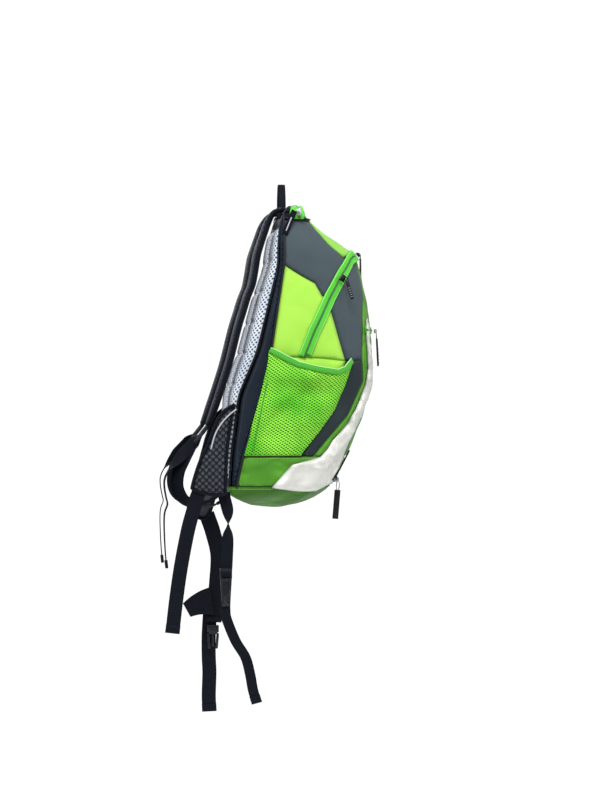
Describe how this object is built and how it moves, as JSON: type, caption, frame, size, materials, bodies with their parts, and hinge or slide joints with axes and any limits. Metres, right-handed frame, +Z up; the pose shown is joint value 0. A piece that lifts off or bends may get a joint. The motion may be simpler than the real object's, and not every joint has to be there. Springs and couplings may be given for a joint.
{
  "type": "hydration pack",
  "caption": "Slim hydration daypack hanging from its haul loop, with a folding zipped front, mesh side pockets, shoulder straps, hip wings, hanging belt webbing and an inner water reservoir.",
  "frame": {"origin": "top of the haul loop, where the pack is held up", "axes": "+Z up, +Y towards the wearer, -Y the pack's outer front, +X the wearer's right"},
  "size_m": [0.2706, 0.3288, 0.812],
  "materials": {
    "fabric_lime": "smooth coated polyester, yellow-green",
    "fabric_green": "coated polyester, mid green",
    "fabric_slate": "coated polyester, slate grey",
    "fabric_black": "woven polyester, near black",
    "fabric_reflective": "crinkled silver reflective film on fabric",
    "spacer_mesh": "air spacer mesh",
    "pocket_mesh": "open green net",
    "binding_green": "folded binding tape",
    "strap_mesh": "perforated spacer mesh over foam",
    "webbing_black": "woven webbing",
    "plastic_black": "moulded acetal",
    "zip_green": "woven zip tape with nylon coil",
    "slider_metal": "silver die-cast",
    "slider_black": "black die-cast",
    "pull_black": "cord and moulded grip",
    "plastic_sheet": "thin polyethylene sheet",
    "lining_grey": "thin lining fabric",
    "reservoir_film": "clear flexible film, filled",
    "port_grey": "moulded"
  },
  "bodies": {
    "pack": {"side_panel_left": "fabric_lime", "side_panel_right": "fabric_lime", "gusset_left": "fabric_black", "gusset_right": "fabric_black", "back_pad_left": "spacer_mesh", "back_pad_right": "spacer_mesh", "mesh_pocket_left": "pocket_mesh", "mesh_pocket_right": "pocket_mesh", "pocket_hem_left": "binding_green", "pocket_hem_right": "binding_green", "reflective_panel_left": "fabric_reflective", "reflective_panel_right": "fabric_reflective", "top_panel": "fabric_green", "lower_front": "fabric_green", "bottom_panel": "fabric_green", "top_cap": "fabric_black", "back_panel": "fabric_black", "main_zip_tape_rear": "zip_green", "top_zip_tape": "zip_green", "bottom_zip_tape": "fabric_black", "top_slider": "slider_metal", "haul_loop": "webbing_black", "frame_sheet": "plastic_sheet", "reservoir_sleeve": "lining_grey", "reservoir": "reservoir_film", "fill_port": "port_grey", "outlet_valve": "port_grey", "hanger_loop": "webbing_black", "hose_port": "plastic_black"},
    "flap": {"flap_panel": "fabric_slate", "flap_crease": "fabric_slate", "main_zip_tape_front": "zip_green", "front_zip_tape": "zip_green"},
    "main_slider_a": {"main_slider_a": "slider_black"},
    "main_pull_a": {"main_pull_a": "pull_black"},
    "main_slider_b": {"main_slider_b": "slider_black"},
    "main_pull_b": {"main_pull_b": "pull_black"},
    "top_pull": {"top_pull": "pull_black"},
    "front_slider": {"front_slider": "slider_metal"},
    "front_pull": {"front_pull": "pull_black"},
    "bottom_slider": {"bottom_slider": "slider_metal"},
    "bottom_pull": {"bottom_pull": "pull_black"},
    "strap_left": {"shoulder_strap_left": "strap_mesh", "ladder_lock_left": "plastic_black", "lower_webbing_left": "webbing_black", "strap_tail_left": "webbing_black"},
    "strap_right": {"shoulder_strap_right": "strap_mesh", "ladder_lock_right": "plastic_black", "lower_webbing_right": "webbing_black", "strap_tail_right": "webbing_black"},
    "wing_left": {"hip_wing_left": "strap_mesh"},
    "wing_right": {"hip_wing_right": "strap_mesh"},
    "wing_tail_left": {"wing_tail_left": "webbing_black"},
    "belt_left": {"belt_strap_left": "webbing_black", "buckle_female": "plastic_black", "belt_tail_left": "webbing_black"},
    "belt_right": {"belt_strap_right": "webbing_black", "buckle_male": "plastic_black", "belt_tail_right": "webbing_black"},
    "fill_cap": {"fill_cap": "plastic_black"}
  },
  "joints": [
    {"name": "flap_fold", "type": "hinge", "parent": "pack", "child": "flap", "pos_m": [0, -0.025, -0.264], "axis": [1, 0, 0], "range_deg": [0, 20], "deforming": ["flap_crease"]},
    {"name": "main_zip_slider_a", "type": "slide", "parent": "pack", "child": "main_slider_a", "axis": [-0.1603, 0.4674, -0.8694], "range_m": [0, 0.085]},
    {"name": "main_pull_a_swing", "type": "hinge", "parent": "main_slider_a", "child": "main_pull_a", "pos_m": [-0.11114, -0.08531, -0.14562], "axis": [0, 1, 0], "range_deg": [0, 60]},
    {"name": "main_zip_slider_b", "type": "slide", "parent": "flap", "child": "main_slider_b", "axis": [1, 0, 0], "range_m": [-0.02, 0.06]},
    {"name": "main_pull_b_swing", "type": "hinge", "parent": "main_slider_b", "child": "main_pull_b", "pos_m": [-0.018, -0.1186, -0.1075], "axis": [-1, 0, 0], "range_deg": [0, 80]},
    {"name": "top_pull_swing", "type": "hinge", "parent": "pack", "child": "top_pull", "pos_m": [-0.1108, -0.012, -0.046], "axis": [0, 1, 0], "range_deg": [0, 60]},
    {"name": "front_zip_slider", "type": "slide", "parent": "flap", "child": "front_slider", "axis": [1, 0, 0], "range_m": [-0.02, 0.06]},
    {"name": "front_pull_swing", "type": "hinge", "parent": "front_slider", "child": "front_pull", "pos_m": [-0.03, -0.1416, -0.223], "axis": [-1, 0, 0], "range_deg": [0, 80]},
    {"name": "bottom_zip_slider", "type": "slide", "parent": "pack", "child": "bottom_slider", "axis": [1, 0, 0], "range_m": [-0.02, 0.05]},
    {"name": "bottom_pull_swing", "type": "hinge", "parent": "bottom_slider", "child": "bottom_pull", "pos_m": [-0.02413, -0.08788, -0.44992], "axis": [-1, 0, 0], "range_deg": [0, 70]},
    {"name": "strap_swing_left", "type": "hinge", "parent": "pack", "child": "strap_left", "pos_m": [-0.058, 0.012, -0.043], "axis": [-0.0616, 0.1755, -0.9825], "range_deg": [-8, 14]},
    {"name": "strap_swing_right", "type": "hinge", "parent": "pack", "child": "strap_right", "pos_m": [0.058, 0.012, -0.043], "axis": [0.0616, 0.1755, -0.9825], "range_deg": [-14, 8]},
    {"name": "wing_swing_left", "type": "hinge", "parent": "pack", "child": "wing_left", "pos_m": [-0.122, 0.076, -0.334], "axis": [0, -0.1194, 0.9928], "range_deg": [0, 40]},
    {"name": "wing_swing_right", "type": "hinge", "parent": "pack", "child": "wing_right", "pos_m": [0.122, 0.075, -0.338], "axis": [0, 0.1194, -0.9928], "range_deg": [0, 40]},
    {"name": "wing_tail_swing", "type": "hinge", "parent": "wing_left", "child": "wing_tail_left", "pos_m": [-0.117, 0.133, -0.47], "axis": [1, 0, 0], "range_deg": [-15, 15]},
    {"name": "belt_swing_left", "type": "hinge", "parent": "wing_left", "child": "belt_left", "pos_m": [-0.107, 0.092, -0.473], "axis": [1, 0, 0], "range_deg": [-8, 12]},
    {"name": "belt_swing_right", "type": "hinge", "parent": "wing_right", "child": "belt_right", "pos_m": [0.112, 0.104, -0.513], "axis": [1, 0, 0], "range_deg": [-12, 12]},
    {"name": "fill_cap_turn", "type": "hinge", "parent": "pack", "child": "fill_cap", "pos_m": [0, -0.00436, -0.205], "axis": [0, -0.9806, -0.1961], "range_deg": [0, 90]}
  ]
}
